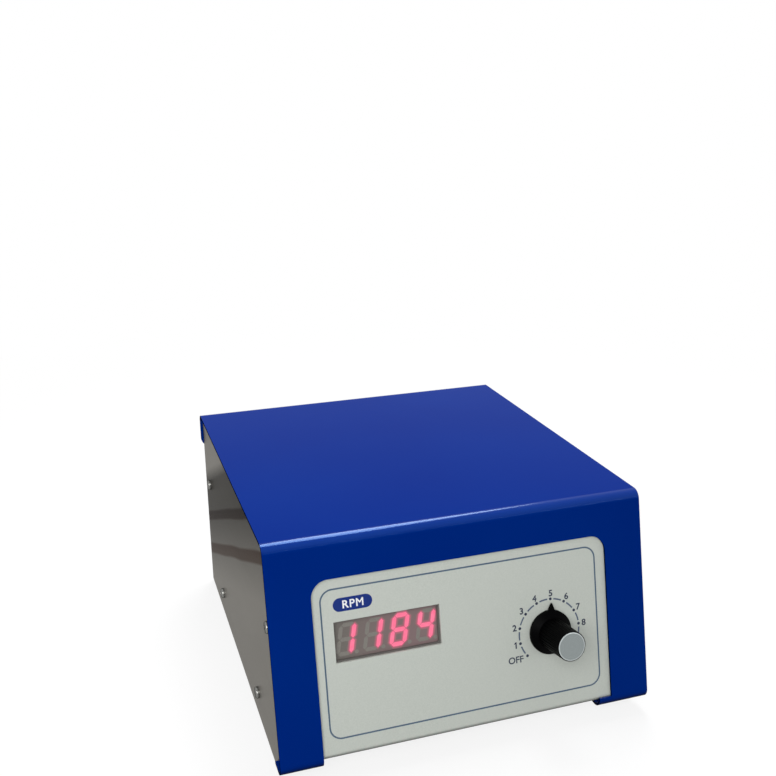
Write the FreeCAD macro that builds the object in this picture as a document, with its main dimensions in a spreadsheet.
# Bench magnetic stirrer: a folded blue cover over a grey chassis tray, bare steel sides, a four-digit
# speed display and a pointer knob on the sloped front, and a motor that turns two magnets under the top.
# Millimetres. +X is to the right, +Y to the rear, +Z up. The origin is on the table, under the middle.
import FreeCAD, Part
import math
import os
import re
import Sketcher

SIZES = {
    # case
    "case_width": 186.0,
    "case_height": 104.6,
    "top_depth": 189.4,
    "front_tilt": 11.5,
    "foot_drop": 7.0,
    # top cover
    "cover_sheet": 1.2,
    "cover_bend": 5.0,
    "rear_lip": 20.6,
    "rear_lip_corner": 5.0,
    "rear_screw_rise": 6.0,
    "front_lip": 13.0,
    "opening_width": 146.0,
    "opening_top": 18.8,
    "opening_corner": 8.0,
    "lip_tab": 6.5,
    # chassis tray
    "tray_sheet": 1.2,
    "tray_gap": 0.2,
    "tray_bend": 3.0,
    "tray_lift": 3.2,
    "wall_gap": 6.0,
    "flange_width": 20.0,
    "seat_radius": 3.2,
    "seat_margin": 0.5,
    # side panels
    "side_sheet": 1.0,
    "side_overhang": 1.5,
    "side_gap": 0.3,
    "side_lift": 2.3,
    "side_drop": 5.5,
    "side_screw_height": 65.4,
    "side_screw_front": 8.1,
    "side_screw_rear": 18.8,
    "base_screw_height": 8.0,
    "base_screw_front": 37.0,
    "base_screw_rear": 141.7,
    # screws and nuts
    "screw_radius": 1.5,
    "screw_length": 6.0,
    "screw_head_radius": 2.9,
    "screw_head_height": 1.8,
    "screw_crown": 0.7,
    "hole_clearance": 0.1,
    "nut_flats": 5.5,
    "nut_height": 2.4,
    # feet
    "foot_top_radius": 8.0,
    "foot_base_radius": 6.5,
    "foot_recess_radius": 4.0,
    "foot_recess_depth": 3.0,
    "foot_inset_x": 24.0,
    "foot_inset_front": 34.0,
    "foot_inset_rear": 24.0,
    # mains inlet
    "inlet_wall_gap": 7.5,
    "inlet_height": 26.0,
    "inlet_flange_width": 50.0,
    "inlet_flange_height": 22.5,
    "inlet_flange": 3.0,
    "inlet_body_width": 28.0,
    "inlet_body_height": 20.0,
    "inlet_depth": 20.0,
    "inlet_cavity_width": 24.4,
    "inlet_cavity_height": 16.4,
    "inlet_cavity_depth": 16.0,
    "inlet_chamfer": 4.5,
    "inlet_fit": 0.2,
    "inlet_screw_span": 40.0,
    "pin_pitch": 14.0,
    "pin_rise": 4.0,
    "pin_width": 2.0,
    "pin_height": 4.0,
    "pin_setback": 1.0,
    "lug_length": 9.0,
    # display
    "window_x": -38.25,
    "window_down": 48.8,
    "window_width": 50.5,
    "window_height": 19.1,
    "display_shift_x": -0.2,
    "display_width": 50.0,
    "display_height": 18.0,
    "display_depth": 8.0,
    "display_setback": 1.5,
    "digit_height": 15.2,
    "digit_width": 8.2,
    "digit_pitch": 12.7,
    "digit_slant": 11.3,
    "segment_width": 1.9,
    "segment_gap": 0.15,
    "segment_depth": 0.5,
    "board_sheet": 1.6,
    "display_board_width": 76.0,
    "display_board_height": 34.0,
    "board_hole_inset": 4.0,
    "spacer_radius": 3.0,
    # potentiometer and knob
    "knob_x": 41.9,
    "knob_down": 62.1,
    "dial_turn": 5.2,
    "pot_radius": 12.0,
    "pot_depth": 10.0,
    "pot_switch_radius": 10.5,
    "pot_switch_depth": 9.0,
    "bush_radius": 3.5,
    "bush_over": 0.3,
    "pot_washer_radius": 6.0,
    "pot_washer_sheet": 0.6,
    "pot_nut_flats": 10.0,
    "pot_nut_height": 2.4,
    "pot_shaft_radius": 3.0,
    "running_clearance": 0.05,
    "lug_width": 2.5,
    "knob_height": 22.6,
    "knob_base_radius": 7.5,
    "knob_end_radius": 7.1,
    "knob_wall": 1.2,
    "knob_rim": 0.25,
    "flute_count": 30,
    "flute_radius": 0.4,
    "flute_end": 2.0,
    "cap_radius": 6.45,
    "cap_sheet": 1.2,
    "cap_chamfer": 0.4,
    "cap_fit": 0.05,
    "collet_radius": 4.2,
    "collet_nut_flats": 8.0,
    "collet_nut_height": 2.6,
    "cap_gap": 0.6,
    "skirt_gap": 0.6,
    "skirt_radius": 10.7,
    "skirt_edge": 1.5,
    "skirt_height": 4.2,
    "skirt_hollow": 7.0,
    "pointer_reach": 14.1,
    "pointer_width": 5.2,
    # stirring drive
    "stir_setback": 94.7,
    "magnet_gap": 2.3,
    "magnet_radius": 10.0,
    "magnet_height": 9.0,
    "magnet_offset": 21.0,
    "magnet_fit": 0.05,
    "holder_radius": 34.0,
    "holder_height": 12.0,
    "hub_radius": 8.0,
    "hub_height": 9.0,
    "hub_gap": 1.5,
    "boss_radius": 6.5,
    "boss_height": 4.0,
    "motor_radius": 21.0,
    "motor_length": 46.0,
    "motor_bend": 2.0,
    "end_cap_radius": 18.0,
    "end_cap_height": 4.0,
    "motor_shaft_radius": 2.5,
    "shaft_depth": 18.0,
    "shaft_top_gap": 2.0,
    "motor_screw_radius": 14.0,
    "set_screw_radius": 1.5,
    "bracket_sheet": 2.0,
    "bracket_side_room": 65.0,
    "bracket_span": 64.0,
    "bracket_foot": 18.0,
    "bracket_hole_inset": 10.0,
    "grommet_radius": 6.0,
    "grommet_neck": 4.0,
    "grommet_flange": 3.0,
    "sensor_width": 9.0,
    "sensor_length": 12.0,
    "sensor_sheet": 1.0,
    "sensor_height": 6.0,
    "sensor_depth": 3.0,
    # transformer
    "coil_wall_gap": 10.7,
    "transformer_shift": 6.0,
    "core_length": 45.0,
    "core_height": 38.0,
    "core_stack": 26.0,
    "core_leg": 15.0,
    "core_yoke": 7.5,
    "coil_wall": 6.8,
    "coil_gap": 0.3,
    "coil_corner": 3.0,
    "clamp_sheet": 1.0,
    "clamp_width": 20.0,
    "clamp_foot": 10.0,
    # control board
    "board_wall_gap": 7.5,
    "board_shift": 14.0,
    "board_width": 50.0,
    "board_length": 90.0,
    "board_lift": 8.0,
    "capacitor_radius": 6.5,
    "capacitor_height": 21.0,
    "capacitor_bead": 0.8,
    "capacitor_gap": 3.9,
    "sink_width": 24.0,
    "sink_depth": 14.0,
    "sink_height": 25.0,
    "sink_back": 3.0,
    "fin_count": 5,
    "fin_sheet": 1.4,
    "fuse_radius": 2.6,
    "fuse_length": 20.0,
    "fuse_lift": 5.0,
    "clip_length": 5.0,
    "clip_sheet": 0.6,
    "terminal_length": 24.0,
    "terminal_depth": 9.0,
    "terminal_height": 11.0,
    "terminal_count": 4,
    "terminal_mouth": 3.2,
    # earth stud and inner leads
    "stud_radius": 2.0,
    "stud_length": 12.0,
    "stud_nut_flats": 7.0,
    "stud_nut_height": 3.2,
    "lead_radius": 1.0,
    "lead_bend": 6.0,
    "lead_straight": 9.0,
    "lead_pitch": 3.0,
    "lead_gap": 0.4,
    "mains_lane": 54.0,
    "transformer_lane": 57.0,
    "motor_lane": 39.0,
    "motor_lead_drop": 8.4,
}

# places worked out from the sizes above
PLACES = {
    "top_z": "foot_drop + case_height",
    "roof_z": "top_z - cover_sheet",
    "tray_z": "foot_drop + tray_lift",
    "floor_z": "tray_z + tray_sheet",
    "tray_top_z": "roof_z - wall_gap",
    "skin": "cover_sheet + tray_gap",
    "front_reach": "(knob_down + knob_end_radius - knob_rim) * sin(front_tilt)"
                   " + (knob_height - skin) * cos(front_tilt)",
    "back_reach": "top_depth - skin + inlet_flange + screw_head_height",
    "front_edge_y": "(front_reach - back_reach) / 2",
    "back_y": "front_edge_y + top_depth",
    "tray_back_y": "back_y - skin",
    "rear_lip_z": "top_z - rear_lip",
    "side_in": "case_width / 2 - side_overhang - side_sheet",
    "side_out": "case_width / 2 - side_overhang",
    "stir_y": "front_edge_y + stir_setback",
    "screw_hole": "screw_radius + hole_clearance",
    "holder_top_z": "roof_z - magnet_gap",
    "holder_z": "holder_top_z - holder_height",
    "hub_z": "holder_z - hub_height",
    "motor_top_z": "hub_z - hub_gap - boss_height",
    "motor_z": "motor_top_z - motor_length",
    "plate_z": "motor_top_z + bracket_sheet",
    "bracket_z": "floor_z + grommet_flange",
    "bracket_width": "case_width - 2 * bracket_side_room",
    "bracket_hole_span": "bracket_width - 2 * bracket_hole_inset",
    "inlet_z": "floor_z + inlet_height",
    "inlet_x": "side_in - inlet_wall_gap - inlet_flange_width / 2",
    "transformer_x": "side_in - coil_wall_gap - coil_wall - core_stack / 2",
    "transformer_y": "stir_y + transformer_shift",
    "core_z": "floor_z",
    "board_x": "board_wall_gap + board_width / 2 - side_in",
    "board_y": "stir_y + board_shift",
    "board_z": "floor_z + board_lift",
    "board_top_z": "board_z + board_sheet",
    "display_x": "window_x + display_shift_x",
    "display_out": "0 - tray_sheet - display_setback",
    "display_board_out": "display_out - display_depth",
    "knob_bore": "pot_shaft_radius + running_clearance",
}

doc = FreeCAD.newDocument("magnetic_stirrer")
sheet = doc.addObject("Spreadsheet::Sheet", "dims")
for row, (name, size) in enumerate(SIZES.items(), start=1):
    sheet.set(f"A{row}", name)
    sheet.set(f"B{row}", str(size))
    sheet.setAlias(f"B{row}", name)
doc.recompute()

NODES = []
PANEL_ANGLE = "90 - front_tilt"
BACK_ANGLE = -90
X_AXIS = FreeCAD.Vector(1, 0, 0)
Y_AXIS = FreeCAD.Vector(0, 1, 0)
Z_AXIS = FreeCAD.Vector(0, 0, 1)
FAR = "2 * case_width"


def expand(text):
    """Writes a size or place name out in terms of the sheet's cells."""
    def swap(match):
        word = match.group(0)
        if word in PLACES:
            return f"({expand(PLACES[word])})"
        return f"dims.{word}" if word in SIZES else word
    return re.sub(r"[a-z]\w*", swap, str(text))


def value(text):
    return float(sheet.evalExpression(expand(text)))


def bind(thing, path, text):
    thing.setExpression(path, expand(text))


def node(thing, label):
    """Names a finished sub-part."""
    thing.Label = label
    NODES.append(thing)
    return thing


def front_y(height, inset="0"):
    """Depth of a plane parallel to the cover's sloped front, inset from its outer face."""
    return f"(front_edge_y - (top_z - ({height})) * tan(front_tilt) + ({inset}) / cos(front_tilt))"


def place(thing, x, y, z, axis=Z_AXIS, angle=0):
    thing.Placement = FreeCAD.Placement(FreeCAD.Vector(), FreeCAD.Rotation(axis, value(angle) or 0))
    for letter, text in zip("xyz", (x, y, z)):
        bind(thing, f"Placement.Base.{letter}", text)
    if isinstance(angle, str):
        bind(thing, "Placement.Rotation.Angle", angle)
    return thing


def place_on_panel(thing, x, down, out):
    """Panel frame: x to the right, y up the slope, z out of the grey panel's face."""
    away = f"({out}) - skin"
    y = f"front_edge_y - ({down}) * sin(front_tilt) - ({away}) * cos(front_tilt)"
    z = f"top_z - ({down}) * cos(front_tilt) + ({away}) * sin(front_tilt)"
    return place(thing, x, y, z, X_AXIS, PANEL_ANGLE)


def place_on_back(thing, x, height, out):
    """Back frame: z out of the tray's back wall, y down."""
    return place(thing, x, f"tray_back_y + ({out})", height, X_AXIS, BACK_ANGLE)


def block(name, length, width, height):
    box = doc.addObject("Part::Box", name)
    bind(box, "Length", length)
    bind(box, "Width", width)
    bind(box, "Height", height)
    return box


def block_at(name, length, width, height, x, y, z):
    """Upright block centred on x and y, standing on z."""
    box = block(name, length, width, height)
    return place(box, f"{x} - ({length}) / 2", f"{y} - ({width}) / 2", z)


def panel_block(name, length, width, height, x, down, out):
    """Block centred on a point of the panel, growing out from there."""
    box = block(name, length, width, height)
    return place_on_panel(box, f"{x} - ({length}) / 2", f"{down} + ({width}) / 2", out)


def rod(name, radius, height):
    cylinder = doc.addObject("Part::Cylinder", name)
    bind(cylinder, "Radius", radius)
    bind(cylinder, "Height", height)
    return cylinder


def nut(name, flats, height, bore):
    """Hexagon nut on its own z axis."""
    prism = doc.addObject("Part::Prism", f"{name}_prism")
    prism.Polygon = 6
    bind(prism, "Circumradius", f"({flats}) / 2 / cos(30)")
    bind(prism, "Height", height)
    return cut(f"{name}_shape", prism, [rod(f"{name}_bore", bore, height)])


def fuse(name, things):
    joined = doc.addObject("Part::MultiFuse", name)
    joined.Shapes = things
    return joined


def group(name, things):
    bundle = doc.addObject("Part::Compound", name)
    bundle.Links = things
    return bundle


def cut(name, base, tools):
    result = doc.addObject("Part::Cut", name)
    result.Base = base
    result.Tool = tools[0] if len(tools) == 1 else fuse(f"{name}_tools", tools)
    return result


def copies(name, master, spots):
    """Copies of one piece, each placed by its own function."""
    links = []
    for index, put in enumerate(spots):
        link = doc.addObject("App::Link", f"{name}_{index}")
        link.LinkedObject = master
        put(link)
        links.append(link)
    return group(name, links)


def new_body(name):
    return doc.addObject("PartDesign::Body", name)


def sketch_on(body, name, plane, offset):
    sketch = body.newObject("Sketcher::SketchObject", name)
    role = next(item for item in body.Origin.OriginFeatures if item.Role == plane)
    sketch.AttachmentSupport = [(role, "")]
    sketch.MapMode = "FlatFace"
    if offset:
        bind(sketch, "AttachmentOffset.Base.z", offset)
    return sketch


def fix(sketch, kind, *args, text):
    index = sketch.addConstraint(Sketcher.Constraint(kind, *args, value(text)))
    bind(sketch, f"Constraints[{index}]", text)


def outline(body, name, plane, points, offset=None):
    """Closed polygon whose corners are bound to sizes."""
    sketch = sketch_on(body, name, plane, offset)
    spots = [FreeCAD.Vector(value(x), value(y), 0) for x, y in points]
    count = len(spots)
    for index in range(count):
        sketch.addGeometry(Part.LineSegment(spots[index], spots[(index + 1) % count]))
    for index in range(count):
        sketch.addConstraint(Sketcher.Constraint("Coincident", index, 2, (index + 1) % count, 1))
    for index, (x, y) in enumerate(points):
        fix(sketch, "DistanceX", index, 1, text=x)
        fix(sketch, "DistanceY", index, 1, text=y)
    return sketch


def ring(body, name, plane, radius, x="0", y="0", offset=None):
    sketch = sketch_on(body, name, plane, offset)
    centre = FreeCAD.Vector(value(x), value(y), 0)
    sketch.addGeometry(Part.Circle(centre, Z_AXIS, value(radius)))
    fix(sketch, "Radius", 0, text=radius)
    fix(sketch, "DistanceX", 0, 3, text=x)
    fix(sketch, "DistanceY", 0, 3, text=y)
    return sketch


def rectangle(width, height, x="0", y="0"):
    left, right = f"{x} - ({width}) / 2", f"{x} + ({width}) / 2"
    low, high = f"{y} - ({height}) / 2", f"{y} + ({height}) / 2"
    return [(left, low), (right, low), (right, high), (left, high)]


def pad(body, sketch, length, both_ways=False, down=False):
    feature = body.newObject("PartDesign::Pad", f"{sketch.Name}_pad")
    feature.Profile = sketch
    feature.Midplane = both_ways
    feature.Reversed = down
    bind(feature, "Length", length)
    doc.recompute()
    return feature


def pocket(body, sketch, length, both_ways=False, up=False):
    before = body.Shape.Volume
    feature = body.newObject("PartDesign::Pocket", f"{sketch.Name}_pocket")
    feature.Profile = sketch
    feature.Midplane = both_ways
    feature.Reversed = up
    bind(feature, "Length", length)
    doc.recompute()
    if body.Shape.Volume >= before:
        raise ValueError(f"{sketch.Name} cuts nothing")
    return feature


def turned(name, points):
    """Solid of revolution about z from a half profile of (radius, height) corners."""
    body = new_body(name)
    sketch = outline(body, f"{name}_profile", "XZ_Plane", points)
    feature = body.newObject("PartDesign::Revolution", f"{name}_turn")
    feature.Profile = sketch
    feature.ReferenceAxis = (sketch, ["V_Axis"])
    feature.Angle = 360
    doc.recompute()
    return body


def fillet(body, radius, pick):
    base = body.Tip
    edges = [f"Edge{index}" for index, edge in enumerate(base.Shape.Edges, start=1) if pick(edge)]
    feature = body.newObject("PartDesign::Fillet", f"{base.Name}_fillet")
    feature.Base = (base, edges)
    bind(feature, "Radius", radius)
    doc.recompute()
    return feature


def shell(body, wall, pick):
    """Hollows a body to a sheet, open at the picked faces."""
    base = body.Tip
    faces = [f"Face{index}" for index, face in enumerate(base.Shape.Faces, start=1) if pick(face)]
    feature = body.newObject("PartDesign::Thickness", f"{base.Name}_sheet")
    feature.Base = (base, faces)
    feature.Reversed = True
    bind(feature, "Value", wall)
    doc.recompute()
    return feature


def along(edge, axis):
    straight = edge.Curve.TypeId == "Part::GeomLine"
    return straight and abs(edge.tangentAt(edge.FirstParameter).dot(axis)) > 0.999


def facing(face, axis):
    return face.normalAt(0, 0).dot(axis) > 0.999


def near(number, text):
    return abs(number - value(text)) < 0.01


def hat(name, across, high, low, sheet_name, foot, width):
    """Folded strap: a bridge with two legs and two feet, seen from the side, as wide as width."""
    half = f"({across}) / 2"
    inner = f"{half} - {sheet_name}"
    under = f"{high} - {sheet_name}"
    over = f"{low} + {sheet_name}"
    right = [(inner, low), (f"{half} + {foot}", low), (f"{half} + {foot}", over), (half, over),
             (half, high)]
    left = [(f"0 - ({y})", z) for y, z in right[::-1]]
    body = new_body(name)
    profile = outline(body, f"{name}_side", "YZ_Plane",
                      right + left + [(f"0 - ({inner})", under), (inner, under)])
    pad(body, profile, width, both_ways=True)
    return body


def lead(label, routes):
    """Insulated wires, each a tube along straight runs joined by arcs."""
    radius = value("lead_radius")
    bend = value("lead_bend")
    tubes = []
    for route in routes:
        spots = [FreeCAD.Vector(*[value(text) for text in spot]) for spot in route]
        edges = []
        start = spots[0]
        for before, corner, after in zip(spots, spots[1:], spots[2:]):
            inward = (before - corner).normalize()
            outward = (after - corner).normalize()
            half_turn = (math.pi - inward.getAngle(outward)) / 2
            reach = bend * math.tan(half_turn)
            first = corner + inward * reach
            last = corner + outward * reach
            bisector = (inward + outward).normalize()
            middle = corner + bisector * (bend / math.cos(half_turn) - bend)
            edges += [Part.LineSegment(start, first).toShape(), Part.Arc(first, middle, last).toShape()]
            start = last
        edges.append(Part.LineSegment(start, spots[-1]).toShape())
        path = Part.Wire(edges)
        section = Part.Face(Part.Wire(Part.makeCircle(radius, spots[0], spots[1] - spots[0])))
        tubes.append(path.makePipe(section))
    feature = doc.addObject("Part::Feature", label)
    feature.Shape = Part.makeCompound(tubes)
    return node(feature, label)


# Pan head screw, head up: the seat under its head is at height 0.
def pan_screw(name, length):
    flat = "screw_head_radius - screw_crown"
    return turned(name, [
        ("0", f"0 - ({length})"), ("screw_radius", f"0 - ({length})"), ("screw_radius", "0"),
        ("screw_head_radius", "0"), ("screw_head_radius", "screw_head_height - screw_crown"),
        (flat, "screw_head_height"), ("0", "screw_head_height")])


def hole(name, put, radius="screw_hole"):
    """Straight cutter centred on a spot."""
    return put(rod(name, radius, "4 * screw_length"), "0 - 2 * screw_length")


case_screw = pan_screw("case_screw", "screw_length")

# Spots of the case screws
def side_spot(sign, y, z):
    def put(thing, back="0"):
        return place(thing, f"{sign} * (side_out + ({back}))", y, z, Y_AXIS, sign * 90)
    return put


def rear_spot(x):
    def put(thing, back="0"):
        return place(thing, x, f"back_y + ({back})", "rear_lip_z + rear_screw_rise", X_AXIS, BACK_ANGLE)
    return put


def lip_spot(x):
    def put(thing, back="0"):
        y = f"{front_y('foot_drop')} + front_lip - seat_radius - seat_margin"
        return place(thing, x, y, f"foot_drop - ({back})", X_AXIS, 180)
    return put


SIDE_SPOTS = {
    "front": (f"{front_y('foot_drop + side_screw_height')} + side_screw_front",
              "foot_drop + side_screw_height"),
    "rear": ("back_y - side_screw_rear", "foot_drop + side_screw_height"),
    "low_front": ("front_edge_y + base_screw_front", "foot_drop + base_screw_height"),
    "low_rear": ("front_edge_y + base_screw_rear", "foot_drop + base_screw_height"),
}
LIP_X = "(case_width + opening_width) / 4"
REAR_X = "opening_width / 2 - flange_width"
side_puts = {(sign, key): side_spot(sign, *spot) for sign in (-1, 1) for key, spot in SIDE_SPOTS.items()}
rear_puts = [rear_spot(f"{sign} * ({REAR_X})") for sign in (-1, 1)]
lip_puts = [lip_spot(f"{sign} * {LIP_X}") for sign in (-1, 1)]

# Top cover: one sheet folded over the front, with an n-shaped opening for the grey panel
sleeve = new_body("cover_sleeve")
pad(sleeve, outline(sleeve, "cover_side", "YZ_Plane", [
    (front_y("foot_drop"), "foot_drop"), ("front_edge_y", "top_z"), ("back_y", "top_z"),
    ("back_y", "foot_drop")]), "case_width", both_ways=True)
fillet(sleeve, "cover_bend", lambda edge: along(edge, X_AXIS) and not (
    near(edge.CenterOfMass.y, "back_y") and near(edge.CenterOfMass.z, "foot_drop")))
shell(sleeve, "cover_sheet", lambda face: facing(face, X_AXIS) or facing(face, -X_AXIS))
lip_end = f"{front_y('foot_drop')} + front_lip"
pocket(sleeve, outline(sleeve, "cover_open_back", "YZ_Plane", [
    (f"{front_y('0')} + front_lip", "0"), ("back_y + foot_drop", "0"),
    ("back_y + foot_drop", "rear_lip_z"), (f"{front_y('rear_lip_z')} + front_lip", "rear_lip_z")]),
    FAR, both_ways=True)
fillet(sleeve, "rear_lip_corner",
       lambda edge: along(edge, Y_AXIS) and near(edge.CenterOfMass.z, "rear_lip_z"))
bend_reach = "cover_bend / tan(45 - front_tilt / 2)"
legs_end = f"case_height / cos(front_tilt) - {bend_reach}"
window = new_body("cover_window")
pad(window, outline(window, "window_face", "XY_Plane", [
    ("0 - opening_width / 2", f"0 - ({legs_end})"), ("opening_width / 2", f"0 - ({legs_end})"),
    ("opening_width / 2", "0 - opening_top"), ("0 - opening_width / 2", "0 - opening_top")]),
    "8 * cover_sheet", both_ways=True)
fillet(window, "opening_corner",
       lambda edge: along(edge, Z_AXIS) and near(edge.CenterOfMass.y, "0 - opening_top"))
place_on_panel(window, "0", "0", "skin")
toe = block("cover_toe", "opening_width - lip_tab", "3 * front_lip",
            f"foot_drop + {bend_reach} + cover_sheet")
place(toe, "0 - opening_width / 2", f"{front_y('foot_drop')} - front_lip", "0")
cover_holes = [hole(f"cover_hole_{index}", put) for index, put in enumerate(rear_puts + lip_puts)]
node(cut("top_cover", sleeve, [window, toe] + cover_holes), "top_cover")

# Chassis tray: floor, sloped front wall that is the grey panel, back wall and side flanges
pan = new_body("tray_pan")
pad(pan, outline(pan, "tray_side", "YZ_Plane", [
    (front_y("tray_z", "skin"), "tray_z"), (front_y("tray_top_z", "skin"), "tray_top_z"),
    ("tray_back_y", "tray_top_z"), ("tray_back_y", "tray_z")]), "2 * side_in", both_ways=True)
fillet(pan, "tray_bend", lambda edge: along(edge, X_AXIS) and near(edge.CenterOfMass.z, "tray_z"))
shell(pan, "tray_sheet", lambda face: facing(face, Z_AXIS))
pocket(pan, outline(pan, "tray_flanges", "YZ_Plane", [
    (front_y("tray_z + flange_width", "skin + flange_width"), "tray_z + flange_width"),
    ("tray_back_y - flange_width", "tray_z + flange_width"),
    ("tray_back_y - flange_width", "top_z"), (front_y("top_z", "skin + flange_width"), "top_z")]),
    FAR, both_ways=True)
seats = []
for index, put in enumerate(lip_puts):
    seat = rod(f"tray_seat_{index}", "seat_radius", "tray_lift - cover_sheet + tray_sheet / 2")
    seats.append(put(seat, "0 - tray_lift - tray_sheet / 2"))
tray_blank = fuse("tray_blank", [pan] + seats)

FOOT_SPOTS = {
    "front_left": ("0 - side_in + foot_inset_x", f"{front_y('foot_drop')} + foot_inset_front"),
    "front_right": ("side_in - foot_inset_x", f"{front_y('foot_drop')} + foot_inset_front"),
    "rear_left": ("0 - side_in + foot_inset_x", "tray_back_y - foot_inset_rear"),
    "rear_right": ("side_in - foot_inset_x", "tray_back_y - foot_inset_rear"),
}


def floor_spot(x, y, z, angle=0):
    def put(thing, back="0"):
        rise = f"{z} + ({back})" if angle == 0 else f"{z} - ({back})"
        return place(thing, x, y, rise, X_AXIS, angle)
    return put


def panel_spot(x, down, out):
    def put(thing):
        return place_on_panel(thing, x, down, out)
    return put


foot_puts = [floor_spot(x, y, "foot_recess_depth", 180) for x, y in FOOT_SPOTS.values()]
bracket_y = "bracket_span / 2 + bracket_foot / 2"
GROMMETS = [(f"{a} * bracket_hole_span / 2", f"stir_y + {b} * ({bracket_y})")
            for a in (-1, 1) for b in (-1, 1)]
grommet_top = "bracket_z + bracket_sheet + grommet_flange"
bracket_puts = [floor_spot(x, y, grommet_top) for x, y in GROMMETS]
BOARD_HOLES = [(f"board_x + {a} * (board_width / 2 - board_hole_inset)",
                f"board_y + {b} * (board_length / 2 - board_hole_inset)") for a in (-1, 1) for b in (-1, 1)]
board_puts = [floor_spot(x, y, "board_top_z") for x, y in BOARD_HOLES]
clamp_y = "core_length / 2 + clamp_sheet + clamp_foot / 2"
clamp_puts = [floor_spot("transformer_x", f"transformer_y + {b} * ({clamp_y})", "floor_z + clamp_sheet")
              for b in (-1, 1)]
DISPLAY_HOLES = [(f"display_x + {a} * (display_board_width / 2 - board_hole_inset)",
                  f"window_down + {b} * (display_board_height / 2 - board_hole_inset)")
                 for a in (-1, 1) for b in (-1, 1)]
inlet_screw_x = [f"inlet_x + {a} * inlet_screw_span / 2" for a in (-1, 1)]
inlet_puts = []
for x in inlet_screw_x:
    inlet_puts.append(
        lambda thing, back="0", x=x: place_on_back(thing, x, "inlet_z", f"inlet_flange + ({back})"))
earth_x = "inlet_x - inlet_flange_width / 2 - stud_nut_flats * 2"
earth_y = "tray_back_y - flange_width - stud_nut_flats"

tray_tools = [hole(f"tray_hole_{index}", put) for index, put in enumerate(
    list(side_puts.values()) + rear_puts + lip_puts + foot_puts + bracket_puts + clamp_puts + inlet_puts)]
tray_tools.append(panel_block("tray_window", "window_width", "window_height", "8 * tray_sheet",
                              "window_x", "window_down", "0 - 4 * tray_sheet"))
tray_tools.append(place_on_panel(rod("tray_pot_hole", "bush_radius + hole_clearance", "8 * tray_sheet"),
                                 "knob_x", "knob_down", "0 - 4 * tray_sheet"))
inlet_hole = block("tray_inlet_hole", "inlet_body_width + inlet_fit", "inlet_body_height + inlet_fit",
                   "8 * tray_sheet")
tray_tools.append(place_on_back(inlet_hole, "inlet_x - (inlet_body_width + inlet_fit) / 2",
                                "inlet_z + (inlet_body_height + inlet_fit) / 2", "0 - 4 * tray_sheet"))
tray_tools.append(place(rod("tray_stud_hole", "stud_radius", "stud_length"), earth_x, earth_y,
                        "tray_z - tray_sheet"))
node(cut("chassis_tray", tray_blank, tray_tools), "chassis_tray")

# Side panels: bare steel plates screwed to the tray's flanges, stepped over the front lips
for sign, side in ((-1, "left"), (1, "right")):
    plate = new_body(f"side_blank_{side}")
    low, high = "foot_drop - side_drop", "roof_z - side_gap"
    step, step_y = "foot_drop + side_lift", f"{lip_end} + 2 * side_gap"
    start = "side_in" if sign > 0 else "0 - side_out"
    pad(plate, outline(plate, f"side_{side}", "YZ_Plane", [
        (front_y(step, "cover_sheet + side_gap"), step), (front_y(high, "cover_sheet + side_gap"), high),
        ("back_y - cover_sheet - side_gap", high), ("back_y - cover_sheet - side_gap", low),
        (step_y, low), (step_y, step)],
        offset=start), "side_sheet")
    fillet(plate, "cover_bend", lambda edge: along(edge, X_AXIS) and not (
        near(edge.CenterOfMass.z, low) or near(edge.CenterOfMass.y, step_y)))
    holes = [hole(f"side_hole_{side}_{key}", put) for (a, key), put in side_puts.items() if a == sign]
    node(cut(f"side_panel_{side}", plate, holes), f"side_panel_{side}")

node(copies("case_screws", case_screw, list(side_puts.values()) + rear_puts + lip_puts), "case_screws")

# Rubber feet, each held by a screw from below and a nut on the tray floor
foot_screw = pan_screw("foot_screw", "tray_z - foot_recess_depth + tray_sheet + nut_height")
case_nut = nut("case_nut", "nut_flats", "nut_height", "screw_hole")
for name, (x, y) in FOOT_SPOTS.items():
    foot = turned(f"foot_{name}_shape", [
        ("screw_hole", "foot_recess_depth"), ("foot_recess_radius", "foot_recess_depth"),
        ("foot_recess_radius", "0"), ("foot_base_radius", "0"), ("foot_top_radius", "tray_z"),
        ("screw_hole", "tray_z")])
    node(place(foot, x, y, "0"), f"foot_{name}")
node(copies("foot_screws", foot_screw, foot_puts), "foot_screws")

# Mains inlet: flanged socket with a recess round three blades
socket = new_body("inlet_socket")
flange_face = rectangle("inlet_flange_width", "inlet_flange_height")
pad(socket, outline(socket, "inlet_flange_face", "XY_Plane", flange_face), "inlet_flange")
fillet(socket, "inlet_chamfer", lambda edge: along(edge, Z_AXIS))
body_face = rectangle("inlet_body_width", "inlet_body_height")
pad(socket, outline(socket, "inlet_body_face", "XY_Plane", body_face), "inlet_depth", down=True)
half_w, half_h = "inlet_cavity_width / 2", "inlet_cavity_height / 2"
pocket(socket, outline(socket, "inlet_cavity", "XY_Plane", [
    (f"0 - {half_w} + inlet_chamfer", f"0 - {half_h}"), (f"{half_w} - inlet_chamfer", f"0 - {half_h}"),
    (half_w, f"0 - {half_h} + inlet_chamfer"), (half_w, half_h), (f"0 - {half_w}", half_h),
    (f"0 - {half_w}", f"0 - {half_h} + inlet_chamfer")], offset="inlet_flange"), "inlet_cavity_depth")
place_on_back(socket, "inlet_x", "inlet_z", "0")
pins = []
pin_length = "inlet_depth + inlet_flange + lug_length - pin_setback"
for index, (x, rise) in enumerate((("0 - pin_pitch / 2", "0 - pin_rise / 2"), ("0", "pin_rise / 2"),
                                   ("pin_pitch / 2", "0 - pin_rise / 2"))):
    pin = block(f"inlet_pin_{index}", "pin_width", "pin_height", pin_length)
    pins.append(place_on_back(pin, f"inlet_x + {x} - pin_width / 2", f"inlet_z + {rise} + pin_height / 2",
                              "0 - inlet_depth - lug_length"))
node(group("inlet_pins", pins), "inlet_pins")
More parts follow.
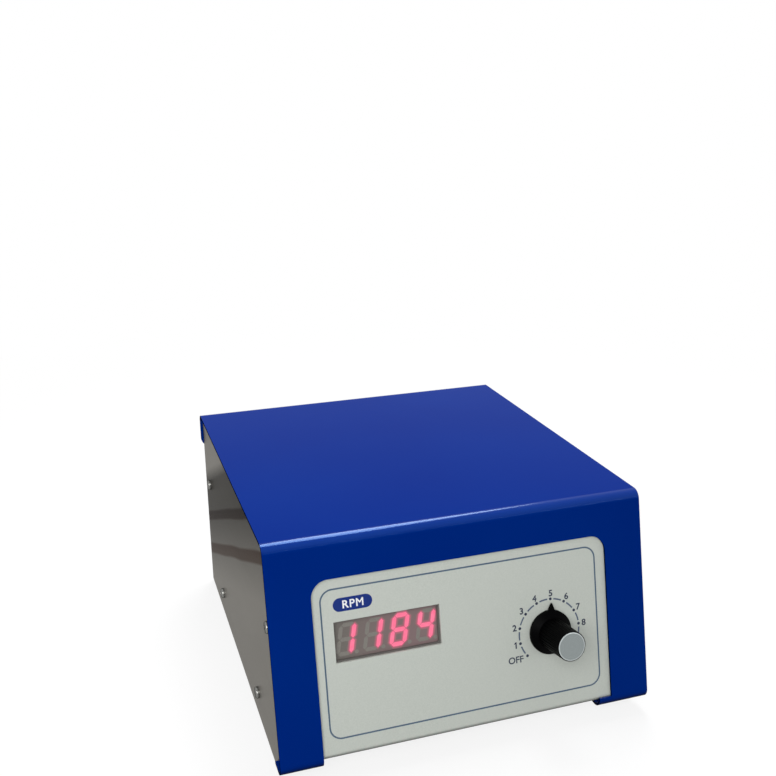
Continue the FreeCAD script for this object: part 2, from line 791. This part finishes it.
inlet_holes = [hole(f"inlet_hole_{index}", put) for index, put in enumerate(inlet_puts)]
node(cut("mains_inlet", socket, pins + inlet_holes), "mains_inlet")
inlet_screw = pan_screw("inlet_screw", "inlet_flange + tray_sheet + nut_height")
node(copies("inlet_screws", inlet_screw, inlet_puts), "inlet_screws")
nut_puts = [floor_spot(x, y, "floor_z") for x, y in FOOT_SPOTS.values()]
for x in inlet_screw_x:
    nut_puts.append(lambda thing, x=x: place_on_back(thing, x, "inlet_z", "0 - tray_sheet - nut_height"))
node(copies("case_nuts", case_nut, nut_puts), "case_nuts")

# Earth stud with two nuts that grip the earth lead
stud = rod("earth_stud", "stud_radius", "stud_length")
node(place(stud, earth_x, earth_y, "tray_z"), "earth_stud")
stud_nut = nut("stud_nut", "stud_nut_flats", "stud_nut_height", "stud_radius")
nut_rise = "stud_nut_height + 2 * lead_radius"
stud_puts = [floor_spot(earth_x, earth_y, f"floor_z + {index} * ({nut_rise})") for index in (0, 1)]
node(copies("earth_nuts", stud_nut, stud_puts), "earth_nuts")

# Display: module with slanted seven-segment digits, on a board held behind the panel by spacers
def segment_shapes():
    """Six-cornered bars of four digits, then a round point after each."""
    high, wide = value("digit_height"), value("digit_width")
    bar, gap, deep = value("segment_width"), value("segment_gap"), value("segment_depth")
    lean = math.tan(math.radians(value("digit_slant")))
    half = bar / 2
    run_x = (wide - bar) / 2
    run_y = (high - bar) / 4
    bars = [(0, 2 * run_y, True), (0, 0, True), (0, -2 * run_y, True)]
    bars += [(a * run_x, b * run_y, False) for a in (-1, 1) for b in (-1, 1)]
    shapes = []
    for digit in range(4):
        middle = (digit - 1.5) * value("digit_pitch")
        for x, y, level in bars:
            reach = (run_x if level else run_y) - gap
            short = reach - half
            flat = [(-reach, 0), (-short, half), (short, half), (reach, 0), (short, -half), (-short, -half)]
            corners = [(u, v) if level else (v, u) for u, v in flat]
            spots = [FreeCAD.Vector(middle + x + u + lean * (y + v), y + v, -deep) for u, v in corners]
            face = Part.Face(Part.makePolygon(spots + spots[:1]))
            shapes.append(face.extrude(FreeCAD.Vector(0, 0, deep)))
        spot = FreeCAD.Vector(middle + wide / 2 + bar - lean * high / 2, half - high / 2, -deep)
        shapes.append(Part.makeCylinder(half, deep, spot))
    return Part.makeCompound(shapes)


segments = doc.addObject("Part::Feature", "display_segments")
segments.Shape = segment_shapes()
node(place_on_panel(segments, "display_x", "window_down", "display_out"), "display_segments")
module = panel_block("display_module", "display_width", "display_height", "display_depth",
                     "display_x", "window_down", "display_board_out")
node(cut("led_display", module, [segments]), "led_display")
back_of_board = "display_board_out - board_sheet"
display_puts = []
for x, down in DISPLAY_HOLES:
    def put(thing, back="0", x=x, down=down):
        away = f"{back_of_board} - skin - ({back})"
        y = f"front_edge_y - ({down}) * sin(front_tilt) - ({away}) * cos(front_tilt)"
        z = f"top_z - ({down}) * cos(front_tilt) + ({away}) * sin(front_tilt)"
        return place(thing, x, y, z, X_AXIS, f"{PANEL_ANGLE} + 180")
    display_puts.append(put)
board = panel_block("display_board_blank", "display_board_width", "display_board_height", "board_sheet",
                    "display_x", "window_down", back_of_board)
board_tools = [hole(f"display_board_hole_{i}", put) for i, put in enumerate(display_puts)]
node(cut("display_board", board, board_tools), "display_board")
spacer_length = "display_depth + display_setback"
display_spacer = cut("display_spacer", rod("display_spacer_rod", "spacer_radius", spacer_length),
                     [rod("display_spacer_bore", "screw_hole", spacer_length)])
spacer_puts = [panel_spot(x, down, "display_board_out") for x, down in DISPLAY_HOLES]
node(copies("display_spacers", display_spacer, spacer_puts), "display_spacers")

# Speed potentiometer with its OFF switch behind, held by a washer and a nut on the panel
bush_end = "pot_washer_sheet + pot_nut_height + bush_over"
pot = turned("pot_shape", [
    ("knob_bore", "0 - tray_sheet - pot_depth / 2"), ("knob_bore", bush_end), ("bush_radius", bush_end),
    ("bush_radius", "0 - tray_sheet"), ("pot_radius", "0 - tray_sheet"),
    ("pot_radius", "0 - tray_sheet - pot_depth"),
    ("pot_switch_radius", "0 - tray_sheet - pot_depth"),
    ("pot_switch_radius", "0 - tray_sheet - pot_depth - pot_switch_depth"),
    ("0", "0 - tray_sheet - pot_depth - pot_switch_depth"), ("0", "0 - tray_sheet - pot_depth / 2")])
place_on_panel(pot, "knob_x", "knob_down", "0")
pot_lugs = [panel_block(f"pot_lug_{index}", "lug_width", "pot_radius + lug_length", "board_sheet / 2",
                        f"knob_x + {index} * lug_width * 2", "knob_down + (pot_radius + lug_length) / 2",
                        "0 - tray_sheet - pot_depth * 0.75") for index in (-1, 0, 1)]
node(fuse("speed_potentiometer", [pot] + pot_lugs), "speed_potentiometer")
washer = cut("pot_washer", rod("pot_washer_disc", "pot_washer_radius", "pot_washer_sheet"),
             [rod("pot_washer_bore", "bush_radius", "pot_washer_sheet")])
node(place_on_panel(washer, "knob_x", "knob_down", "0"), "pot_washer")
pot_nut = nut("pot_nut", "pot_nut_flats", "pot_nut_height", "bush_radius")
node(place_on_panel(pot_nut, "knob_x", "knob_down", "pot_washer_sheet"), "pot_nut")

# Knob: fluted collet knob on the shaft, with a pointer skirt under it and a silver cap on its end
cap_seat = "knob_height - cap_sheet"
nut_top = f"{cap_seat} - cap_gap"
nut_seat = f"{nut_top} - collet_nut_height"
shaft = rod("pot_shaft", "pot_shaft_radius", f"{nut_seat} + tray_sheet + pot_depth / 2 - running_clearance")
node(place_on_panel(shaft, "knob_x", "knob_down", "0 - tray_sheet - pot_depth / 2 + running_clearance"),
     "pot_shaft")
skirt_top = "skirt_height"
inside = "knob_end_radius - knob_wall"
grip = turned("knob_grip", [
    ("collet_radius", skirt_top), ("knob_base_radius", skirt_top),
    ("knob_end_radius", "knob_height - knob_rim"),
    ("knob_end_radius - knob_rim", "knob_height"), ("cap_radius", "knob_height"), ("cap_radius", cap_seat),
    (inside, cap_seat), (inside, nut_seat), ("collet_radius", nut_seat)])
before = grip.Shape.Volume
flute = grip.newObject("PartDesign::Pocket", "knob_flute")
flute.Profile = ring(grip, "knob_flute_round", "XY_Plane", "flute_radius",
                     x="(knob_base_radius + knob_end_radius) / 2", offset=skirt_top)
flute.Reversed = True
bind(flute, "Length", f"knob_height - flute_end - ({skirt_top})")
doc.recompute()
around = grip.newObject("PartDesign::PolarPattern", "knob_flutes")
around.Originals = [flute]
around.Axis = (next(item for item in grip.Origin.OriginFeatures if item.Role == "Z_Axis"), [""])
around.Angle = 360
bind(around, "Occurrences", "flute_count")
grip.Tip = around
doc.recompute()
if grip.Shape.Volume >= before:
    raise ValueError("the knob has no flutes")
node(place_on_panel(grip, "knob_x", "knob_down", "0"), "knob_body")
disc = turned("pointer_disc", [
    ("knob_bore", "pot_washer_sheet + pot_nut_height + skirt_gap"),
    ("skirt_hollow", "pot_washer_sheet + pot_nut_height + skirt_gap"), ("skirt_hollow", "skirt_gap"),
    ("skirt_radius", "skirt_gap"), ("skirt_radius", "skirt_gap + skirt_edge"),
    ("knob_base_radius", skirt_top), ("knob_bore", skirt_top)])
arrow = new_body("pointer_arrow")
pad(arrow, outline(arrow, "pointer_face", "XY_Plane", [
    ("0 - pointer_width / 2", "skirt_hollow + skirt_edge"),
    ("pointer_width / 2", "skirt_hollow + skirt_edge"),
    ("0", "pointer_reach")], offset="skirt_gap"), "skirt_edge")
place(arrow, "0", "0", "0", Z_AXIS, "0 - dial_turn")
skirt = fuse("pointer_skirt", [disc, arrow])
node(place_on_panel(skirt, "knob_x", "knob_down", "0"), "pointer_skirt")
cap = turned("knob_cap_shape", [
    ("0", cap_seat), ("cap_radius - cap_fit", cap_seat),
    ("cap_radius - cap_fit", "knob_height - cap_chamfer"),
    ("cap_radius - cap_fit - cap_chamfer", "knob_height"), ("0", "knob_height")])
node(place_on_panel(cap, "knob_x", "knob_down", "0"), "knob_cap")
collet = cut("knob_collet", rod("collet_rod", "collet_radius", f"{nut_seat} - ({skirt_top})"),
             [rod("collet_bore", "pot_shaft_radius", f"{nut_seat} - ({skirt_top})")])
node(place_on_panel(collet, "knob_x", "knob_down", skirt_top), "knob_collet")
collet_nut = nut("collet_nut", "collet_nut_flats", "collet_nut_height", "screw_hole")
node(place_on_panel(collet_nut, "knob_x", "knob_down", nut_seat), "collet_nut")

# Stirring drive: motor hung under a bridge on rubber grommets, magnets close under the top
hole_puts = [floor_spot(x, y, "bracket_z") for x, y in GROMMETS]
bridge = hat("bracket_bridge", "bracket_span", "plate_z", "bracket_z", "bracket_sheet", "bracket_foot",
             "bracket_width")
place(bridge, "0", "stir_y", "0")
motor_puts = [floor_spot(f"{a} * motor_screw_radius", "stir_y", "plate_z") for a in (-1, 1)]
bridge_tools = [hole(f"bridge_hole_{i}", put, "grommet_neck") for i, put in enumerate(hole_puts)]
bridge_tools += [hole(f"bridge_motor_hole_{i}", put) for i, put in enumerate(motor_puts)]
bridge_tools.append(place(rod("bridge_boss_hole", "boss_radius + hole_clearance", "4 * bracket_sheet"),
                          "0", "stir_y", "motor_top_z - bracket_sheet"))
node(cut("motor_bracket", bridge, bridge_tools), "motor_bracket")
grommet = turned("grommet", [
    ("screw_hole", "0"), ("grommet_radius", "0"), ("grommet_radius", "grommet_flange"),
    ("grommet_neck", "grommet_flange"), ("grommet_neck", "grommet_flange + bracket_sheet"),
    ("grommet_radius", "grommet_flange + bracket_sheet"),
    ("grommet_radius", "2 * grommet_flange + bracket_sheet"),
    ("screw_hole", "2 * grommet_flange + bracket_sheet")])
node(copies("bracket_grommets", grommet, [floor_spot(x, y, "floor_z") for x, y in GROMMETS]),
     "bracket_grommets")
bracket_screw = pan_screw("bracket_screw", "2 * grommet_flange + bracket_sheet + tray_sheet")
node(copies("bracket_screws", bracket_screw, bracket_puts), "bracket_screws")

can = turned("motor_can_shape", [
    ("0", "motor_z"), ("motor_radius - motor_bend", "motor_z"), ("motor_radius", "motor_z + motor_bend"),
    ("motor_radius", "motor_top_z"), ("boss_radius", "motor_top_z"),
    ("boss_radius", "motor_top_z - shaft_depth / 2"),
    ("motor_shaft_radius + running_clearance", "motor_top_z - shaft_depth / 2"),
    ("motor_shaft_radius + running_clearance", "motor_top_z - shaft_depth - running_clearance"),
    ("0", "motor_top_z - shaft_depth - running_clearance")])
place(can, "0", "stir_y", "0")
node(cut("motor_can", can, [hole(f"motor_can_hole_{i}", put) for i, put in enumerate(motor_puts)]),
     "motor_can")
end_cap = turned("motor_end_cap_shape", [
    ("0", "motor_z - end_cap_height"), ("end_cap_radius - motor_bend", "motor_z - end_cap_height"),
    ("end_cap_radius", "motor_z - end_cap_height + motor_bend"), ("end_cap_radius", "motor_z"),
    ("0", "motor_z")])
node(place(end_cap, "0", "stir_y", "0"), "motor_end_cap")
bush_wall = "motor_shaft_radius + running_clearance"
bearing = turned("motor_bearing_shape", [
    (bush_wall, "motor_top_z - shaft_depth / 2"), ("boss_radius", "motor_top_z - shaft_depth / 2"),
    ("boss_radius", "motor_top_z + boss_height"), (bush_wall, "motor_top_z + boss_height")])
node(place(bearing, "0", "stir_y", "0"), "motor_bearing")
node(copies("motor_screws", case_screw, motor_puts), "motor_screws")
motor_shaft = rod("motor_shaft", "motor_shaft_radius",
                  "holder_top_z - shaft_top_gap - motor_top_z + shaft_depth")
node(place(motor_shaft, "0", "stir_y", "motor_top_z - shaft_depth"), "motor_shaft")

holder = turned("holder_shape", [
    ("motor_shaft_radius", "hub_z"), ("hub_radius", "hub_z"), ("hub_radius", "holder_z"),
    ("holder_radius", "holder_z"), ("holder_radius", "holder_top_z"), ("0", "holder_top_z"),
    ("0", "holder_top_z - shaft_top_gap"), ("motor_shaft_radius", "holder_top_z - shaft_top_gap")])
place(holder, "0", "stir_y", "0")
MAGNETS = [f"{a} * magnet_offset" for a in (-1, 1)]
wells = [place(rod(f"magnet_well_{i}", "magnet_radius + magnet_fit", "2 * magnet_height"), x, "stir_y",
               "holder_top_z - magnet_height") for i, x in enumerate(MAGNETS)]
set_hole = place(rod("set_screw_hole", "set_screw_radius", "hub_radius * 2"), "0", "stir_y",
                 "hub_z + hub_height / 2", X_AXIS, 90)
node(cut("magnet_holder", holder, wells + [set_hole]), "magnet_holder")
magnets = [place(rod(f"stir_magnet_{i}", "magnet_radius", "magnet_height"), x, "stir_y",
                 "holder_top_z - magnet_height") for i, x in enumerate(MAGNETS)]
node(group("stir_magnets", magnets), "stir_magnets")
set_screw = rod("holder_set_screw", "set_screw_radius", "hub_radius - motor_shaft_radius - hole_clearance")
screw_y = "stir_y - motor_shaft_radius - hole_clearance"
node(place(set_screw, "0", screw_y, "hub_z + hub_height / 2", X_AXIS, 90), "holder_set_screw")

# Speed sensor under the path of the magnets, on a small angle plate
sensor_y = "stir_y + magnet_offset"
foot_plate = block_at("sensor_foot", "sensor_width", "sensor_length", "sensor_sheet", "0",
                      f"{sensor_y} - sensor_length / 4", "plate_z")
upright = block_at("sensor_upright", "sensor_width", "sensor_sheet", "sensor_height", "0",
                   f"{sensor_y} + sensor_length / 4 - sensor_sheet / 2", "plate_z")
node(fuse("sensor_bracket", [foot_plate, upright]), "sensor_bracket")
sensor = block_at("speed_sensor", "sensor_width / 2", "sensor_depth", "sensor_height / 2", "0",
                  f"{sensor_y} + sensor_length / 4 + sensor_depth / 2", "plate_z + sensor_height / 2")
node(sensor, "speed_sensor")

# Transformer: laminated core with two windows, coil on the middle leg, strap over the core
core = new_body("core_shape")
core_face = rectangle("core_length", "core_height", "0", "core_height / 2")
pad(core, outline(core, "core_side", "YZ_Plane", core_face), "core_stack", both_ways=True)
gap_width = "(core_length - core_leg) / 2 - core_yoke"
for sign, side in ((-1, "front"), (1, "rear")):
    pocket(core, outline(core, f"core_gap_{side}", "YZ_Plane", rectangle(
        gap_width, "core_height - 2 * core_yoke", f"{sign} * (core_leg + {gap_width}) / 2",
        "core_height / 2")),
        FAR, both_ways=True)
node(place(core, "transformer_x", "transformer_y", "core_z"), "transformer_core")
coil = new_body("coil_shape")
coil_face = rectangle("core_stack + 2 * coil_wall", "core_leg + 2 * coil_wall")
pad(coil, outline(coil, "coil_face", "XY_Plane", coil_face), "core_height - 2 * core_yoke - 2 * coil_gap")
fillet(coil, "coil_corner", lambda edge: along(edge, Z_AXIS))
pocket(coil, outline(coil, "coil_bore", "XY_Plane", rectangle("core_stack", "core_leg")), "core_height",
       up=True)
node(place(coil, "transformer_x", "transformer_y", "core_z + core_yoke + coil_gap"), "transformer_coil")
strap = hat("strap", "core_length + 2 * clamp_sheet", "core_z + core_height + clamp_sheet", "core_z",
            "clamp_sheet", "clamp_foot", "clamp_width")
place(strap, "transformer_x", "transformer_y", "0")
node(cut("transformer_clamp", strap, [hole(f"clamp_hole_{i}", put) for i, put in enumerate(clamp_puts)]),
     "transformer_clamp")
node(copies("clamp_screws", pan_screw("clamp_screw", "clamp_sheet + tray_sheet"), clamp_puts),
     "clamp_screws")

# Control board on spacers, with its heat sink, capacitors, fuse and terminals
blank = block_at("control_board_blank", "board_width", "board_length", "board_sheet", "board_x", "board_y",
                 "board_z")
node(cut("control_board", blank, [hole(f"board_hole_{i}", put) for i, put in enumerate(board_puts)]),
     "control_board")
board_spacer = cut("board_spacer", rod("board_spacer_rod", "spacer_radius", "board_lift"),
                   [rod("board_spacer_bore", "screw_hole", "board_lift")])
node(copies("board_spacers", board_spacer, [floor_spot(x, y, "floor_z") for x, y in BOARD_HOLES]),
     "board_spacers")
node(copies("board_screws", case_screw, board_puts + display_puts), "board_screws")
capacitor = turned("capacitor", [
    ("0", "0"), ("capacitor_radius", "0"), ("capacitor_radius", "capacitor_bead * 2"),
    ("capacitor_radius - capacitor_bead / 2", "capacitor_bead * 3"),
    ("capacitor_radius", "capacitor_bead * 4"),
    ("capacitor_radius", "capacitor_height - capacitor_bead"),
    ("capacitor_radius - capacitor_bead", "capacitor_height"), ("0", "capacitor_height")])
half_pitch = "capacitor_radius + capacitor_gap / 2"
capacitor_puts = [floor_spot(f"board_x + {a} * ({half_pitch})", "board_y", "board_top_z") for a in (-1, 1)]
node(copies("capacitors", capacitor, capacitor_puts), "capacitors")
sink_y = "board_y + board_length / 2 - board_hole_inset * 2 - sink_depth"
ribs = [block_at("sink_plate", "sink_width", "sink_back", "sink_height", "board_x",
                 f"{sink_y} + sink_back / 2",
                 "board_top_z")]
for index in range(SIZES["fin_count"]):
    x = f"board_x + ({index} / (fin_count - 1) - 0.5) * (sink_width - fin_sheet)"
    ribs.append(block_at(f"sink_fin_{index}", "fin_sheet", "sink_depth", "sink_height", x,
                         f"{sink_y} + sink_depth / 2", "board_top_z"))
node(fuse("heat_sink", ribs), "heat_sink")
fuse_y = "board_y - board_length / 2 + board_hole_inset * 2 + terminal_depth + fuse_radius * 4"
fuse_z = "board_top_z + fuse_lift"
fuse_tube = rod("mains_fuse", "fuse_radius", "fuse_length")
node(place(fuse_tube, "board_x - fuse_length / 2", fuse_y, fuse_z, Y_AXIS, 90), "mains_fuse")
clips = []
for sign in (-1, 1):
    x = f"board_x + {sign} * (fuse_length - clip_length) / 2"
    clip = block_at(f"clip_{sign + 1}", "clip_length", "2 * (fuse_radius + clip_sheet)",
                    "fuse_lift + fuse_radius", x, fuse_y, "board_top_z")
    slot = block_at(f"clip_slot_{sign + 1}", "clip_length * 2", "2 * fuse_radius",
                    "fuse_lift + fuse_radius", x, fuse_y,
                    "board_top_z + clip_sheet")
    clips.append(cut(f"fuse_clip_{sign + 1}", clip, [slot]))
node(group("fuse_clips", clips), "fuse_clips")
terminal_y = "board_y - board_length / 2 + board_hole_inset * 2 + terminal_depth / 2"
terminal = block_at("terminal_blank", "terminal_length", "terminal_depth", "terminal_height",
                    "board_x", terminal_y, "board_top_z")
mouths = []
mouth_x = [f"board_x + (({index} + 0.5) / terminal_count - 0.5) * terminal_length"
           for index in range(SIZES["terminal_count"])]
for index, x in enumerate(mouth_x):
    mouths.append(block_at(f"terminal_mouth_{index}", "terminal_mouth", "terminal_depth", "terminal_mouth",
                           x, f"{terminal_y} - terminal_depth / 2", "board_top_z + terminal_mouth"))
node(cut("terminal_block", terminal, mouths), "terminal_block")

# Inner leads, from lug to terminal
lug_y = "tray_back_y - inlet_depth - lug_length"
live_z = "inlet_z - pin_rise / 2"
switch_out = "0 - tray_sheet - pot_depth - pot_switch_depth"
bent_y = f"{lug_y} - lead_straight"


def panel_point(x, down, out):
    away = f"({out}) - skin"
    return (x, f"front_edge_y - ({down}) * sin(front_tilt) - ({away}) * cos(front_tilt)",
            f"top_z - ({down}) * cos(front_tilt) + ({away}) * sin(front_tilt)")


def from_switch(x):
    return [panel_point(x, "knob_down", f"{switch_out} - {away} * lead_bend") for away in (2, 0)]


side_x = "side_in - tray_sheet - 4 * lead_radius"
over_z = "floor_z + core_height + clamp_sheet + lead_bend"
live_x = "inlet_x + pin_pitch / 2"
neutral_x = "inlet_x - pin_pitch / 2"
lead("mains_leads", [
    [(live_x, lug_y, live_z), (live_x, bent_y, live_z), (side_x, f"{bent_y} - 2 * lead_straight", live_z),
     (side_x, "stir_y - mains_lane", live_z)] + from_switch("knob_x + pot_switch_radius / 2"),
    [(neutral_x, lug_y, live_z), (neutral_x, bent_y, live_z), (neutral_x, f"{bent_y} - lead_pitch", over_z),
     ("knob_x", "stir_y - mains_lane + lead_bend", over_z)]
    + from_switch("knob_x - pot_switch_radius / 2")])
mouth_z = "board_top_z + terminal_mouth * 3 / 2"
mouth_y = f"{terminal_y} - lead_radius / 2"
coil_x = "transformer_x - core_stack / 2 - coil_wall"
coil_z = "core_z + core_height / 2"
routes = []
for step, spot in ((-1, 0), (1, 1)):
    start_y = f"transformer_y + {step} * lead_pitch"
    lane_x = f"{coil_x} - lead_bend - lead_pitch / 2 - {step} * lead_radius"
    lane_y = f"stir_y - transformer_lane + {step} * lead_pitch"
    routes.append([(coil_x, start_y, coil_z), (lane_x, start_y, coil_z), (lane_x, lane_y, mouth_z),
                   (mouth_x[spot], lane_y, mouth_z), (mouth_x[spot], mouth_y, mouth_z)])
lead("transformer_leads", routes)
cap_z = "motor_z - end_cap_height"
run_z = f"{cap_z} - motor_lead_drop"
routes = []
for step, spot in ((-1, 2), (1, 3)):
    start_y = f"stir_y + {step} * lead_bend"
    lane_x = f"0 - bracket_width / 2 - lead_gap - lead_radius - {step + 1} * (lead_radius + lead_gap / 2)"
    lane_y = f"stir_y - motor_lane + {step} * lead_pitch"
    routes.append([("0 - lead_bend", start_y, cap_z), ("0 - lead_bend", start_y, run_z),
                   (lane_x, start_y, run_z),
                   (lane_x, lane_y, mouth_z), (mouth_x[spot], lane_y, mouth_z),
                   (mouth_x[spot], mouth_y, mouth_z)])
lead("motor_leads", routes)
strip_x = "board_x - terminal_length / 2 - lead_bend"
strip_y = "board_y - board_length / 2 + board_hole_inset * 3"
strip_down = "window_down + display_board_height / 4"
plug_x = "display_x - display_board_width / 4"
lead("display_lead", [
    [panel_point(plug_x, strip_down, back_of_board),
     panel_point(plug_x, strip_down, f"{back_of_board} - lead_bend * 2"),
     (strip_x, strip_y, "board_top_z + lead_bend * 2"), (strip_x, strip_y, "board_top_z")]])
earth_z = "floor_z + stud_nut_height + lead_radius"
tail_x = f"{earth_x} + lead_bend * 2"
lead("earth_lead", [
    [("inlet_x", lug_y, "inlet_z + pin_rise / 2"), ("inlet_x", bent_y, "inlet_z + pin_rise / 2"),
     (f"{tail_x} + lead_straight", f"{lug_y} - lead_bend", earth_z), (tail_x, earth_y, earth_z),
     (f"{earth_x} + stud_radius + hole_clearance", earth_y, earth_z)]])

doc.recompute()


def check(things):
    """Stops if anything in the document failed, or a sub-part has no sound solid."""
    for thing in doc.Objects:
        if {"Invalid", "Error"} & set(thing.State):
            raise ValueError(f"{thing.Name} failed")
    for thing in things:
        if thing.Shape.isNull() or not thing.Shape.isValid() or not thing.Shape.Solids:
            raise ValueError(f"{thing.Label} has no sound solid")


check(NODES)
os.makedirs("parts", exist_ok=True)
for thing in NODES:
    thing.Shape.exportStep(f"parts/{thing.Label}.step")
    box = thing.Shape.BoundBox
    print(f"{thing.Label}: {len(thing.Shape.Solids)} solids, {thing.Shape.Volume:.0f} mm3,"
          f" y {box.YMin:.2f} to {box.YMax:.2f}, z {box.ZMin:.2f} to {box.ZMax:.2f}")
